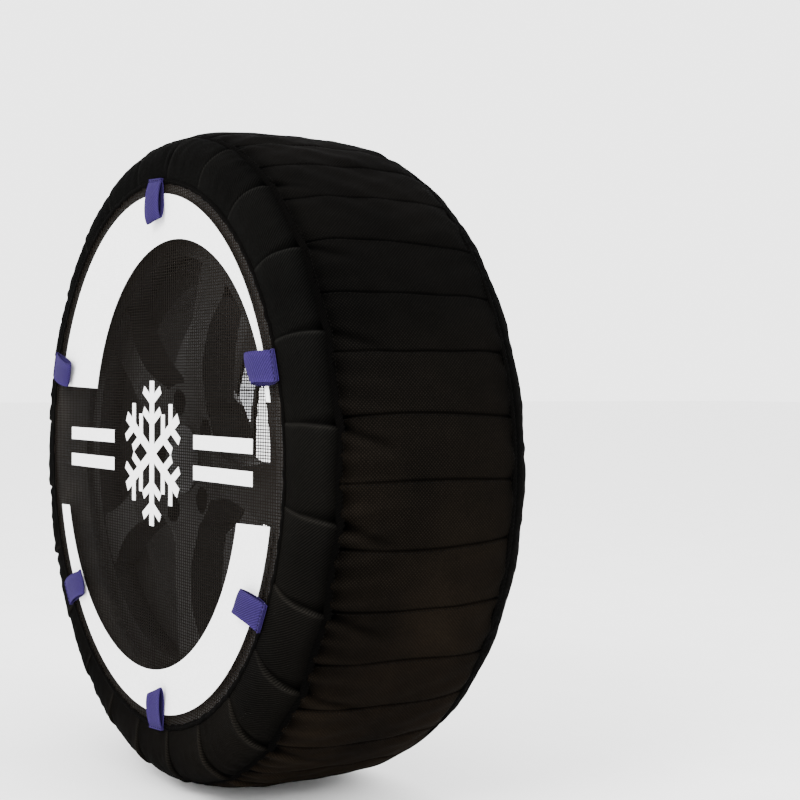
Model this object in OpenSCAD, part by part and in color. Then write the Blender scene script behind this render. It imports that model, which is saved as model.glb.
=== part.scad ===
// Textile snow sock fitted on a car wheel.
// The origin is the centre of the wheel's hub mounting face. +Y points inboard along the axle, and the
// printed mesh face of the sock looks towards -Y. Clock angles run from +Z towards +X.

/* [Tyre] */
// Outside radius of the tyre at the middle of the tread
tyre_r = 315.7; // [315:0.1:317]
// Widest width of the mounted tyre
tyre_w = 228; // [226:1:229]
// Radius at which the tyre is widest
bulge_r = 265; // [262:1:268]
// Squareness of the tyre's shoulders
shoulder_n = 3.2; // [2.8:0.1:3.6]
// Number of circumferential tread grooves
groove_count = 4; // [2:2:6]

/* [Wheel] */
// Offset of the tyre's centre plane from the hub face
wheel_offset = 45; // [44:1:46]
// Radius of the bead seats, 16 inch
seat_r = 203; // [202.8:0.1:203.2]
// Width between the rim flanges, 6.5 inch
rim_w = 165; // [163:1:165]
// Outside radius of the rim flanges
flange_r = 220.3; // [219.5:0.1:220.6]
// Number of spokes
spoke_count = 5; // [4:1:6]
// Clock angle of the first spoke
spoke_clock = 25; // [20:1:30]
// Radius of the hub bore
bore_r = 28.55; // [27:0.05:29]
// Diameter of the bolt circle
bolt_pcd = 112; // [108:1:114]
// Number of wheel bolts
bolt_count = 5; // [4:1:5]
// Radius of the bolt holes
bolt_r = 7.5; // [6.5:0.1:7.5]

/* [Sock] */
// Gap between the sock and the tyre
sock_gap = 0.6; // [0.4:0.1:0.8]
// Thickness of the tread fabric
tread_t = 3.7; // [3:0.1:4]
// Thickness of the side fabric
side_t = 2.4; // [2:0.1:2.6]
// Outside radius of the mesh face
mesh_r = 264; // [258:1:264]
// How far the face sits above the axle, as a stretched sock settles
face_lift = 6; // [0:0.5:6]
// Thickness of the mesh
mesh_t = 1.2; // [0.8:0.1:1.4]
// Radius of the elastic hem behind the tyre
hem_r = 238.5; // [236:0.5:240]

/* [Print] */
// Outside radius of the printed arcs
print_r = 249.5; // [240:0.5:252]
// Half height of the bare band between the two arcs, at its left and at its right end
band_half = [65, 52]; // [48:1:70]
// Thickness of the printed layer
print_t = 0.4; // [0.3:0.1:0.5]
// Length of a snowflake arm
flake_r = 70; // [60:1:80]
// Length of the plain bars beside the snowflake
bar_len = 118; // [80:1:120]

/* [Pull tabs] */
// Clock angle of each pull tab
tab_clock = [3, 70, 119, 176, 235, 289];
// Width of the webbing
tab_w = 27; // [22:1:30]
// Length of a tab from its hinge to its free end
tab_len = 44; // [40:1:50]
// Thickness of one layer of webbing
webbing_t = 1.6; // [1.2:0.1:1.8]

/* [Hidden] */
$fn = 96;

// Tyre section. Every layer is the band between two closed-form outlines.
half_w = tyre_w / 2;
lower_depth = 82;               // radial semi-axis of the lower sidewall outline
flange_gap_r = flange_r + 0.9;  // where the sidewall meets the rim flange
ply_w = half_w - 5;
ply_crown_r = tyre_r - 16.7;
ply_t = 1.5;
liner_t = 2;
foot_across = [cos(32), -sin(32)];  // across the layers where they end at the bead
ply_foot = [213, 70];
mid_foot = ply_foot + ply_t * foot_across;
liner_foot = mid_foot + liner_t * foot_across;
bead_half = rim_w / 2 - 0.6;
bead_foot_r = seat_r + 0.2;
bead_toe_y = 64;
bead_core = 6.5;
bead_core_at = [209, 75];
belt_r = ply_crown_r + 1.5;
belt_t = 4;
belt_w = 168;
groove_w = 8;
groove_floor_r = 307.5;
groove_pitch = 38;
tread_half_w = 100;             // where the tread rubber meets the sidewalls
curve_step = 5;

// Rim barrel
flange_t = 9.5;
flange_y = rim_w / 2 + flange_t;
wall_in_r = 197;
well_r = 178;
well_in_r = 172;
web_y = [-62, -56];

// Wheel centre
hub_r = 74;
hub_front = -38;
spoke_front = -50;
spoke_root_front = -46;
spoke_rim_back = -24;
spoke_w = 54;
spoke_waist = 34;
waist_r = 150;
waist_z = 128;
cap_seat_r = 30;
cap_seat_y = -24;
bolt_seat_r = 13;
bolt_seat_y = -15;

// Valve, in its own frame: +Z out of the wheel, zero at the middle of the rim web
valve_clock = spoke_clock + 180 / spoke_count;
valve_r = 188;
valve_y = wheel_offset - 62;
valve_hole_r = 5.65;
tube_end = 31;
cap_len = 10;

// Sock section
sock_w = half_w + sock_gap;
sock_r = tyre_r + sock_gap;
face_y = sock_w + side_t;
seam_from = 38;
seam_to = 42;
side_tuck = 8;
hem_edge = 15;
hem_tube_r = 4.6;
hem_y = 113.5;
elastic_r = 2;
binding_t = 3.4;
binding_proud = 1;
binding_w = 4;

// Printed arcs: the inner edge of each arc is a circle set to one side
upper_hole = [47, 8, 195];
lower_hole = [-20, -1, 209];
arm_w = 10;
twig_len = 23;
twig_at = [30, 50];
bar_w = 13;
bar_gap = 15;
bar_from = 94;

// Pull tabs
loop_gap = 1.4;
tab_half_t = webbing_t + loop_gap / 2;
tab_hinge_r = mesh_r + 1;
tab_clearance = 0.4;
tab_hinge_y = face_y + binding_proud + tab_clearance + tab_half_t;

// ---- Outlines, as [radius, axial] with the axial zero at the tyre's centre plane ----

// The half outline above the widest point, a superellipse. Angles run from the crown, 0, to the bulge, 90.
function upper_point(w, crown_r, a) = [
    bulge_r + (crown_r - bulge_r) * pow(cos(a), 2 / shoulder_n),
    w * sign(a) * pow(abs(sin(a)), 2 / shoulder_n),
];

function upper_curve(w, crown_r, from, to) =
    let (steps = max(1, round(abs(to - from) / curve_step)))
    [for (i = [0:steps]) upper_point(w, crown_r, from + (to - from) * i / steps)];

// The half outline below the widest point, an ellipse. Angles run from the bulge, 0, downwards.
function lower_point(w, depth, a) = [bulge_r - depth * sin(a), w * cos(a)];

function lower_curve(w, depth, from, to) =
    let (steps = max(1, round(abs(to - from) / curve_step)))
    [for (i = [0:steps]) lower_point(w, depth, from + (to - from) * i / steps)];

function flip(points) = [for (p = points) [p.x, -p.y]];
function reverse(points) = [for (i = [len(points) - 1:-1:0]) points[i]];

// A whole outline from the outer foot over the crown to the inner foot
function section(w, crown_r, foot) =
    let (end = acos(foot.y / w), depth = (bulge_r - foot.x) / sin(end))
    let (half = concat(upper_curve(w, crown_r, curve_step, 90), lower_curve(w, depth, curve_step, end)))
    concat(reverse(flip(half)), [[crown_r, 0]], half);

tyre_foot_y = half_w * cos(asin((bulge_r - flange_gap_r) / lower_depth));
tyre_outline = section(half_w, tyre_r, [flange_gap_r, tyre_foot_y]);
ply_outline = section(ply_w, ply_crown_r, ply_foot);
mid_outline = section(ply_w - ply_t, ply_crown_r - ply_t, mid_foot);
liner_outline = section(ply_w - ply_t - liner_t, ply_crown_r - ply_t - liner_t, liner_foot);
bead_outline = [
    [flange_gap_r, bead_half],
    [bead_foot_r, bead_half],
    [bead_foot_r, bead_toe_y],
    liner_foot,
    mid_foot,
];

// ---- Helpers ----

module on_axle() {
    translate([0, wheel_offset, 0]) rotate([-90, 0, 0]) children();
}

module ring() {
    on_axle() rotate_extrude($fn = 180) children();
}

module at_clock(angle) {
    rotate([0, angle, 0]) children();
}

module face_ring() {
    translate([0, 0, face_lift]) ring() children();
}

// A flat shape drawn as seen from the face side, extruded from axial position y1 outwards to y2
module on_face(y1, y2) {
    translate([0, y1, 0]) rotate([90, 0, 0]) linear_extrude(y1 - y2) children();
}

// A band of sock fabric over the tyre between two angles of the upper outline
module sock_band(from, to, thickness) {
    polygon(concat(
        upper_curve(sock_w, sock_r, from, to),
        reverse(upper_curve(face_y, sock_r + thickness, from, to))
    ));
}

// ---- Tyre ----

module bead_core_shape(side) {
    translate([bead_core_at.x, side * bead_core_at.y]) square(bead_core, center = true);
}

module belt_shape() {
    translate([belt_r, -belt_w / 2]) square([belt_t, belt_w]);
}

module rubber_shape() {
    difference() {
        polygon(concat(
            tyre_outline,
            bead_outline,
            reverse(ply_outline),
            reverse(flip(bead_outline))
        ));
        belt_shape();
        bead_core_shape(-1);
        bead_core_shape(1);
    }
}

module tread_zone() {
    translate([bulge_r, -tread_half_w]) square([100, 2 * tread_half_w]);
}

module tyre_tread() {
    color([0.05, 0.05, 0.05]) ring() difference() {
        intersection() {
            rubber_shape();
            tread_zone();
        }
        for (i = [0:groove_count - 1])
            translate([groove_floor_r, (i - (groove_count - 1) / 2) * groove_pitch - groove_w / 2])
                square([20, groove_w]);
    }
}

module tyre_sidewall(side) {
    color([0.05, 0.05, 0.05]) ring() difference() {
        rubber_shape();
        tread_zone();
        translate([0, side > 0 ? -200 : 0]) square([400, 200]);
    }
}

module carcass_ply() {
    color([0.45, 0.4, 0.3]) ring() polygon(concat(ply_outline, reverse(mid_outline)));
}

module inner_liner() {
    color([0.1, 0.1, 0.11]) ring() polygon(concat(mid_outline, reverse(liner_outline)));
}

module steel_belts() {
    color([0.6, 0.6, 0.62]) ring() belt_shape();
}

module bead_core(side) {
    color([0.6, 0.55, 0.45]) ring() bead_core_shape(side);
}

// ---- Wheel ----

module rim_barrel() {
    color([0.62, 0.63, 0.65]) difference() {
        ring() {
            polygon([
                [wall_in_r, -flange_y], [flange_r - flange_t / 2, -flange_y],
                [flange_r - flange_t / 2, -rim_w / 2], [seat_r, -rim_w / 2],
                [seat_r, web_y[0]], [well_r, web_y[1]], [well_r, -26], [192, 4], [seat_r, 58],
                [seat_r, rim_w / 2], [flange_r - flange_t / 2, rim_w / 2],
                [flange_r - flange_t / 2, flange_y], [wall_in_r, flange_y],
                [wall_in_r, 60], [186, 4], [well_in_r, -28], [well_in_r, -62], [wall_in_r, -68],
            ]);
            for (side = [-1, 1])
                translate([flange_r - flange_t / 2, side * (flange_y - flange_t / 2)])
                    circle(d = flange_t, $fn = 48);
        }
        at_valve() cylinder(r = valve_hole_r, h = 60, center = true);
    }
}

module spoke_outline() {
    difference() {
        translate([-spoke_w / 2, hub_r - 12]) square([spoke_w, wall_in_r - hub_r + 20]);
        for (side = [-1, 1])
            translate([side * (waist_r + spoke_waist / 2), waist_z]) circle(r = waist_r, $fn = 180);
    }
}

module wheel_centre_outline() {
    circle(r = hub_r);
    for (i = [0:spoke_count - 1])
        rotate(-spoke_clock - i * 360 / spoke_count) spoke_outline();
}

// The dished lens that the spokes and the hub are cut from
module wheel_centre_lens() {
    rotate([-90, 0, 0]) rotate_extrude($fn = 180) polygon([
        [0, 0], [hub_r, 0], [hub_r + 8, -12], [wall_in_r, spoke_rim_back],
        [wall_in_r, spoke_root_front], [150, spoke_front], [110, spoke_front + 1],
        [hub_r - 12, hub_front], [0, hub_front],
    ]);
}

module bolt_hole() {
    rotate([90, 0, 0]) {
        translate([0, 0, -1]) cylinder(r = bolt_r, h = 60);
        translate([0, 0, -bolt_seat_y + 6]) sphere(r = bolt_seat_r, $fn = 64);
        translate([0, 0, -bolt_seat_y + 6]) cylinder(r = bolt_seat_r, h = 60);
    }
}

// The core pocket in the back of a spoke, modelled on the spoke at the top
module spoke_pocket() {
    for (z = [100, 168])
        translate([0, 0, z]) rotate([90, 0, 0]) cylinder(d = 18, h = 34);
    translate([-9, -34, 100]) cube([18, 34, 68]);
}

module wheel_centre() {
    color([0.68, 0.69, 0.71]) difference() {
        intersection() {
            on_face(5, -70) wheel_centre_outline();
            wheel_centre_lens();
        }
        rotate([90, 0, 0]) translate([0, 0, -1]) cylinder(r = bore_r, h = 80);
        translate([0, cap_seat_y, 0]) rotate([90, 0, 0]) cylinder(r = cap_seat_r, h = 40);
        for (i = [0:bolt_count - 1])
            at_clock(spoke_clock + (i + 0.5) * 360 / bolt_count) translate([0, 0, bolt_pcd / 2]) bolt_hole();
        for (i = [0:bolt_count - 1])
            at_clock(spoke_clock + i * 360 / bolt_count) translate([0, -7, 58]) rotate([-90, 0, 0])
                cylinder(r = 8, h = 10);
        for (i = [0:spoke_count - 1])
            at_clock(spoke_clock + i * 360 / spoke_count) spoke_pocket();
    }
}

module centre_cap() {
    color([0.12, 0.12, 0.13]) rotate([90, 0, 0]) rotate_extrude() polygon([
        [0, 37], [22, 37], [22, 26], [26, 24.5], [29.8, 24.5], [29.8, 38.2],
        [33, 38.2], [33, 39.4], [26, 41.6], [0, 42.4],
    ]);
}

// Stuck-on weights: count segments in a row, centred on a clock angle
module balance_weights(clock, count, r, y) {
    pitch = 5.6;
    color([0.55, 0.56, 0.58]) translate([0, y, 0])
        for (i = [0:count - 1])
            at_clock(clock + (i - (count - 1) / 2) * pitch) rotate([-90, 0, 0]) rotate([0, 0, -90 - 2.6])
                rotate_extrude(angle = 5.2, $fn = 180) translate([r - 3.6, -9]) square([3.6, 18]);
}

// ---- Valve ----

module at_valve() {
    at_clock(valve_clock) translate([0, valve_y, valve_r]) rotate([90, 0, 0]) children();
}

module valve_rubber() {
    color([0.07, 0.07, 0.07]) at_valve() rotate_extrude() polygon([
        [2.7, -13], [6.2, -13], [7.8, -10.5], [7.8, -6.5], [5.6, -5.6], [5.6, 4.6], [7.2, 5.4],
        [7.2, 8], [5.2, 22], [2.7, 22],
    ]);
}

module valve_tube() {
    color([0.72, 0.58, 0.3]) at_valve() rotate_extrude() polygon([
        [1.9, -14], [2.7, -14], [2.7, 22], [3.85, 22], [3.85, tube_end], [1.9, tube_end],
    ]);
}

module valve_core() {
    color([0.75, 0.62, 0.35]) at_valve() rotate_extrude() polygon([
        [0.9, 6], [1.9, 6], [1.9, tube_end - 1], [0.9, tube_end - 1],
    ]);
}

module valve_pin() {
    color([0.8, 0.8, 0.82]) at_valve() rotate_extrude() polygon([
        [0, 3], [1.6, 3], [1.6, 5.6], [0.7, 5.6], [0.7, tube_end], [0, tube_end],
    ]);
}

module valve_cap_seal() {
    color([0.1, 0.1, 0.1]) at_valve() translate([0, 0, tube_end + 0.3])
        rotate_extrude() polygon([[1.2, 0], [4.1, 0], [4.1, 1.4], [1.2, 1.4]]);
}

module valve_cap() {
    color([0.1, 0.1, 0.1]) at_valve() translate([0, 0, tube_end - cap_len + 3.5]) difference() {
        union() {
            cylinder(r = 5.2, h = cap_len);
            for (i = [0:11])
                rotate(i * 30) translate([5.2, 0, 1]) cylinder(r = 0.5, h = cap_len - 2, $fn = 16);
        }
        translate([0, 0, -1]) cylinder(r = 4.15, h = cap_len - 0.6);
    }
}

// ---- Sock ----

module tread_fabric() {
    color([0.06, 0.055, 0.05]) ring() sock_band(-seam_from, seam_from, tread_t);
}

// The side fabric runs in under the face binding, where the binding's eccentric outline cuts it
module outer_side_fabric() {
    color([0.05, 0.05, 0.05]) difference() {
        ring() polygon(flip(concat(
            upper_curve(sock_w, sock_r, seam_to, 90),
            lower_curve(sock_w, lower_depth, 0, side_tuck),
            reverse(lower_curve(face_y, lower_depth, 0, side_tuck)),
            reverse(upper_curve(face_y, sock_r + tread_t, seam_to, 90))
        )));
        face_ring() translate([0, -face_y - 1]) square([mesh_r + binding_w, 10]);
    }
}

module hem_circle() {
    translate([hem_r, hem_y]) circle(r = hem_tube_r, $fn = 48);
}

module inner_side_fabric() {
    color([0.05, 0.05, 0.05]) ring() difference() {
        polygon(concat(
            upper_curve(sock_w, sock_r, seam_to, 90),
            lower_curve(sock_w, lower_depth, curve_step, hem_edge),
            reverse(lower_curve(face_y, lower_depth, curve_step, hem_edge)),
            reverse(upper_curve(face_y, sock_r + tread_t, seam_to, 90))
        ));
        hem_circle();
    }
}

module shoulder_seam(side) {
    color([0.02, 0.02, 0.02]) ring() sock_band(side * seam_from, side * seam_to, tread_t);
}

module mesh_face() {
    color([0.16, 0.13, 0.11]) face_ring() translate([0, -face_y]) square([mesh_r, mesh_t]);
}

module face_binding() {
    color([0.03, 0.03, 0.03]) face_ring() translate([mesh_r, -face_y - binding_proud])
        square([binding_w, binding_t]);
}

module hem_casing() {
    color([0.05, 0.05, 0.05]) ring() difference() {
        hem_circle();
        translate([hem_r, hem_y]) circle(r = elastic_r + 0.4, $fn = 48);
    }
}

module hem_elastic() {
    color([0.2, 0.2, 0.22]) ring() translate([hem_r, hem_y]) circle(r = elastic_r, $fn = 48);
}

// ---- Print ----

module print_layer() {
    translate([0, 0, face_lift])
        on_face(wheel_offset - face_y, wheel_offset - face_y - print_t) children();
}

// The part of the printed ring beyond the bare band, above it for side 1 and below it for side -1
module print_arc(side, hole) {
    color([0.93, 0.93, 0.92]) print_layer() intersection() {
        difference() {
            circle(r = print_r, $fn = 180);
            translate([hole[0], hole[1]]) circle(r = hole[2], $fn = 180);
        }
        polygon([
            [-print_r, side * band_half[0]], [print_r, side * band_half[1]],
            [print_r, side * 2 * print_r], [-print_r, side * 2 * print_r],
        ]);
    }
}

module snowflake() {
    for (i = [0:5]) rotate(i * 60) {
        translate([-arm_w / 2, 0]) square([arm_w, flake_r]);
        for (z = twig_at, side = [-1, 1])
            translate([0, z]) rotate(side * 60) translate([-arm_w / 2 + 1, 0]) square([arm_w - 2, twig_len]);
    }
}

module motif_bars() {
    for (side = [-1, 1], row = [-1, 1])
        translate([side * (bar_from + bar_len / 2), row * (bar_gap + bar_w) / 2])
            square([bar_len, bar_w], center = true);
}

module print_motif() {
    color([0.93, 0.93, 0.92]) print_layer() {
        snowflake();
        motif_bars();
    }
}

// ---- Pull tabs ----

// A slot outline with round ends, from the hinge inwards
module slot(half_t) {
    circle(r = half_t, $fn = 48);
    translate([0, -half_t]) square([tab_len - tab_half_t, 2 * half_t]);
    translate([tab_len - tab_half_t, 0]) circle(r = half_t, $fn = 48);
}

// A flattened loop of webbing, sewn to the rim of the face and lying on it
module pull_tab(i) {
    color([0.2, 0.15, 0.5]) translate([0, 0, face_lift]) at_clock(tab_clock[i])
        translate([-tab_w / 2, wheel_offset - tab_hinge_y, tab_hinge_r])
            rotate([0, 90, 0]) linear_extrude(tab_w) difference() {
                slot(tab_half_t);
                slot(loop_gap / 2);
            }
}

tyre_tread();
tyre_sidewall(-1);  // tyre_sidewall_outer
tyre_sidewall(1);  // tyre_sidewall_inner
carcass_ply();
inner_liner();
steel_belts();
bead_core(-1);  // bead_core_outer
bead_core(1);  // bead_core_inner
rim_barrel();
wheel_centre();
centre_cap();
balance_weights(120, 5, well_in_r, wheel_offset - 48);  // balance_weights_outer
balance_weights(290, 4, wall_in_r, wheel_offset + 78);  // balance_weights_inner
valve_rubber();
valve_tube();
valve_core();
valve_pin();
valve_cap_seal();
valve_cap();
tread_fabric();
outer_side_fabric();
inner_side_fabric();
shoulder_seam(-1);  // outer_shoulder_seam
shoulder_seam(1);  // inner_shoulder_seam
mesh_face();
face_binding();
hem_casing();
hem_elastic();
print_arc(1, upper_hole);  // print_upper_arc
print_arc(-1, lower_hole);  // print_lower_arc
print_motif();
pull_tab(0);  // pull_tab_1
pull_tab(1);  // pull_tab_2
pull_tab(2);  // pull_tab_3
pull_tab(3);  // pull_tab_4
pull_tab(4);  // pull_tab_5
pull_tab(5);  // pull_tab_6
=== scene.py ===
"""Looks for a textile snow sock fitted on a car wheel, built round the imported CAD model.

Everything is in metres, in the frame of the CAD model: +Y runs inboard along the axle, +Z is up, and clock
angles run from +Z towards +X. The cloth of the sock follows one outline. Places on it are given by a clock
angle in degrees, a length along the cloth from the middle of the tread (negative outboard, towards the
printed face), and a lift, the height above the outline.
"""

import math

import bpy
import numpy as np
from mathutils import Matrix, Vector


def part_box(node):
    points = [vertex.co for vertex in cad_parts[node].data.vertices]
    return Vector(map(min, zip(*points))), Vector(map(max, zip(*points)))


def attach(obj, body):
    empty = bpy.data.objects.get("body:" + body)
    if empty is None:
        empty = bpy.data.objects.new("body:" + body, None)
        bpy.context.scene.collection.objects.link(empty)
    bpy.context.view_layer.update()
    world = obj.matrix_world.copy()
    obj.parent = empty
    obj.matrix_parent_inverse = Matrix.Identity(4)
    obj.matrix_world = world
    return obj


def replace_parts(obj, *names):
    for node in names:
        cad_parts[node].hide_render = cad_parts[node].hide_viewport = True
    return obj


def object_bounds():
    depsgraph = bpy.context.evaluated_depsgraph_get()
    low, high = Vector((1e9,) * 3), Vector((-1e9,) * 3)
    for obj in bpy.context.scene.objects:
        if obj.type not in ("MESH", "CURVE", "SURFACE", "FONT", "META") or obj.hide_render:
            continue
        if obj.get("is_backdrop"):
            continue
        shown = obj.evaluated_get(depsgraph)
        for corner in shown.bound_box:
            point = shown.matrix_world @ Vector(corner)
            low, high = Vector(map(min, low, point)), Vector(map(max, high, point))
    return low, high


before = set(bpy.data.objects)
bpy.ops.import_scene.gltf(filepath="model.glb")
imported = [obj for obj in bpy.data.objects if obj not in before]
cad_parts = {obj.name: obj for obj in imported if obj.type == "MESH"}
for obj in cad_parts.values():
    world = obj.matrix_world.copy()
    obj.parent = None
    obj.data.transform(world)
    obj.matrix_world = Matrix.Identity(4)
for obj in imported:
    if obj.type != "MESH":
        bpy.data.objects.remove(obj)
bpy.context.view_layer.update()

MM = 0.001

# ---- Places taken from the CAD model ----

tread_low, tread_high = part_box("tread_fabric")
face_low, face_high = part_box("mesh_face")
binding_low, binding_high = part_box("face_binding")
hem_low, hem_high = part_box("hem_casing")

CENTRE_Y = (tread_low.y + tread_high.y) / 2
SOCK_R = tread_high.z
FACE_Y = face_low.y
FACE_R = (face_high.x - face_low.x) / 2
FACE_Z = (face_high.z + face_low.z) / 2
FACE_T = face_high.y - face_low.y
HALF_W = CENTRE_Y - FACE_Y
EDGE_TAPE = (binding_high.x - binding_low.x) / 2 - FACE_R
HEM_TUBE = (hem_high.y - hem_low.y) / 2
HEM_Y = (hem_high.y + hem_low.y) / 2
HEM_R = hem_high.x - HEM_TUBE
FACE_CENTRE = np.array([0, FACE_Y, FACE_Z])
OUTBOARD = np.array([0, -1.0, 0])

# ---- Driving dimensions ----

BULGE_R = 265 * MM  # where the outline is widest
SHOULDER_N = 3.2  # squareness of its shoulders
LOWER_DEPTH = 82 * MM  # radial half axis of the ellipse below the bulge
UPPER_STEPS, LOWER_STEPS = 1500, 300  # samples of the outline above and below the bulge
LOWER_END = 24  # how far below the bulge the samples go, as an angle

SEAM_COUNT, SEAM_CLOCK = 36, 1.3
PLEAT_COUNT, PLEAT_CLOCK = 24, 6.5
GATHER_COUNT = 84
TREAD_ANGLE, SIDE_ANGLE = 39.0, 41.0  # where the tread and the sides end, as angles of the upper outline
SEAM_DEPTH = 1.6 * MM  # how deep the shoulder seams lie
CLOTH = 1.0 * MM  # thickness of the side cloth
INNER_LIFT = -3.0 * MM  # the lowest the tread and outer side may lie without touching the tyre
TREAD_ROWS, SIDE_ROWS, TAPE_ROWS = 81, 41, 9  # points across each cloth, a multiple of SKIP plus one
SKIP = 4  # the hidden skin of a cloth has only every fourth row

NET_WIDE, NET_TALL = FACE_R + 3 * MM, FACE_R - 5 * MM  # the net is pulled into a slight oval
NET_PITCH, NET_THREAD = 2.75 * MM, 0.9 * MM  # of the level yarns
UPRIGHT_PITCH, UPRIGHT_THREAD = 4.4 * MM, 1.4 * MM  # of the upright yarns
YARN_HEIGHT = 0.55 * MM
STITCH_PITCH, STITCH_LENGTH, STITCH_WIDTH = 4.4 * MM, 3.1 * MM, 0.8 * MM

TAB_CLOCKS = [3, 72, 119, 176, 233.5, 289]
TAB_WIDTH, TAB_THICK = 28 * MM, 1.5 * MM
TAB_LIFT = 2.9 * MM  # height of the hinge line over the face
TAB_LAYER = 0.8 * MM  # how far each layer lies from the middle of the loop
TAB_ROOT, ROOT_ROWS = 3.5 * MM, 4  # the sewn end past the hinge
# How each loop lies, in mm: its length, how far it stands open, how far its front layer is shifted clockwise,
# how much longer it is on its clockwise side, how far its free end leans clockwise, and how much further that
# side stands off the net
TAB_SHAPES = [(37, 6, 0, -3, 7, -2), (37, 6, -9, -3, -9, 2), (37, 6, -5, 2, 9, 2), (34, 4, 0, -4, -8, 3),
              (46, 3, 2, 5, -15, 1), (48, 5, -5, 3, 5, 1)]

# Painted shade: the cloth's hidden inner skin is darkened.
HIDDEN_PAINTED_SHADING = -0.5  # of the cloth's inner skin

rng = np.random.default_rng(7)


# ---- The outline of the sock ----

def upper_point(angle):
    """Radius and axial place on the superellipse above the bulge. The angle runs from the crown, 0, to 90."""
    power = 2 / SHOULDER_N
    radius = BULGE_R + (SOCK_R - BULGE_R) * np.cos(angle).clip(0) ** power
    return radius, HALF_W * np.sin(angle).clip(0) ** power


def half_outline():
    """Cloth lengths from the crown, radii and axial places of one half, down to well below the bulge."""
    upper = np.radians(90 * (1 - np.linspace(1, 0, UPPER_STEPS) ** 3))
    lower = np.radians(np.linspace(0.05, LOWER_END, LOWER_STEPS))
    radius, axial = upper_point(upper)
    radius = np.concatenate([radius, BULGE_R - LOWER_DEPTH * np.sin(lower)])
    axial = np.concatenate([axial, HALF_W * np.cos(lower)])
    length = np.concatenate([[0], np.cumsum(np.hypot(np.diff(radius), np.diff(axial)))])
    return length, radius, axial


LENGTHS, RADII, AXIALS = half_outline()


def outline(along):
    """Radius, axial place and outward normal (radial, axial) at cloth lengths from the crown."""
    side = np.sign(along)
    away = np.abs(along)
    before, after = np.maximum(away - 1.5 * MM, 0), away + 1.5 * MM
    radius, axial = (np.interp(away, LENGTHS, values) for values in (RADII, AXIALS))
    rise, run = (np.interp(after, LENGTHS, v) - np.interp(before, LENGTHS, v) for v in (RADII, AXIALS))
    size = np.hypot(rise, run)
    return radius, side * axial, run / size, -side * rise / size


def wrap(angle, along, lift):
    """Points on the sock."""
    radius, axial, out_r, out_y = outline(along)
    radius = radius + lift * out_r
    turn = np.radians(angle)
    return np.stack([radius * np.sin(turn), CENTRE_Y + axial + lift * out_y, radius * np.cos(turn)], -1)


def length_at_angle(degrees):
    """Cloth length at an angle of the upper outline."""
    axial = upper_point(np.radians(degrees))[1]
    return float(np.interp(axial, AXIALS[:UPPER_STEPS], LENGTHS[:UPPER_STEPS]))


def length_at_radius(radius):
    """Cloth length at which one half has come down to this radius."""
    return np.interp(-radius, -RADII, LENGTHS)


TREAD_HALF = length_at_angle(TREAD_ANGLE)
SIDE_HALF = length_at_angle(SIDE_ANGLE)


def net_radius(angle):
    """Distance from the face's own centre to the net's edge."""
    turn = np.radians(angle)
    return NET_WIDE * NET_TALL / np.hypot(NET_TALL * np.sin(turn), NET_WIDE * np.cos(turn))


# ---- Meshes ----

def ring_quads(columns, rows, first=0):
    """Quads of a grid that closes on itself along its columns. Its points are numbered column by column."""
    i = np.arange(columns)[:, None]
    j = np.arange(rows - 1)[None, :]
    a = first + i * rows + j
    b = first + (i + 1) % columns * rows + j
    return np.stack([a, b, b + 1, a + 1], -1).reshape(-1, 4)


def strip_quads(first_row, second_row):
    """Quads between two closed rows of point numbers."""
    return np.stack([first_row, second_row, np.roll(second_row, -1), np.roll(first_row, -1)], -1)


def corner_uv(flat):
    """UVs of each quad of a grid, from one pair for each of its points."""
    return np.stack([flat[:-1, :-1], flat[1:, :-1], flat[1:, 1:], flat[:-1, 1:]], 2).reshape(-1, 4, 2)


def piece(name, points, faces, material, body, uv=None, painted_shading=None):
    """A mesh that rides on a body. uv has a pair for each corner of a face, painted_shading a number for each
    point: painted shade below 0 and painted highlight above it.
    """
    mesh = bpy.data.meshes.new(name)
    mesh.from_pydata(np.asarray(points).reshape(-1, 3).tolist(), [], [list(map(int, f)) for f in faces])
    if uv is not None:
        layer = mesh.uv_layers.new(name="UVMap")
        layer.data.foreach_set("uv", np.asarray(uv, np.float32).ravel())
    if painted_shading is not None:
        values = mesh.attributes.new("painted_shading", "FLOAT", "POINT").data
        values.foreach_set("value", np.asarray(painted_shading, np.float32).ravel())
    mesh.polygons.foreach_set("use_smooth", [True] * len(mesh.polygons))
    mesh.materials.append(material)
    made = bpy.data.objects.new(name, mesh)
    bpy.context.scene.collection.objects.link(made)
    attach(made, body)
    return made


def cloth_ring(name, angle, along, outer_lift, inner_lift, painted_shading, material):
    """A closed sheet round the wheel. Each array has a number for each of its (columns, rows) points."""
    columns, rows = along.shape
    turn = np.broadcast_to(angle, along.shape)
    outer = wrap(turn, along, outer_lift).reshape(-1, 3)
    inner = wrap(turn, along, np.broadcast_to(inner_lift, along.shape))[:, ::SKIP]
    inner_rows = inner.shape[1]
    outside = ring_quads(columns, rows)
    inside = ring_quads(columns, inner_rows, len(outer))[:, ::-1]
    outer_low = np.arange(columns) * rows
    inner_low = len(outer) + np.arange(columns) * inner_rows
    low = strip_quads(inner_low, outer_low)[:, ::-1]
    high = strip_quads(outer_low + rows - 1, inner_low + inner_rows - 1)[:, ::-1]
    faces = np.concatenate([outside, inside, low, high])

    across = np.radians(np.concatenate([turn, turn[:1] + 360])) * SOCK_R
    uv = np.zeros((len(faces), 4, 2))
    uv[:len(outside)] = corner_uv(np.stack([across, np.concatenate([along, along[:1]])], -1))
    points = np.concatenate([outer, inner.reshape(-1, 3)])
    painted_shadings = np.full(len(points), HIDDEN_PAINTED_SHADING)
    painted_shadings[:len(outer)] = painted_shading.ravel()
    return piece(name, points, faces, material, "sock", uv, painted_shadings)


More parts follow.
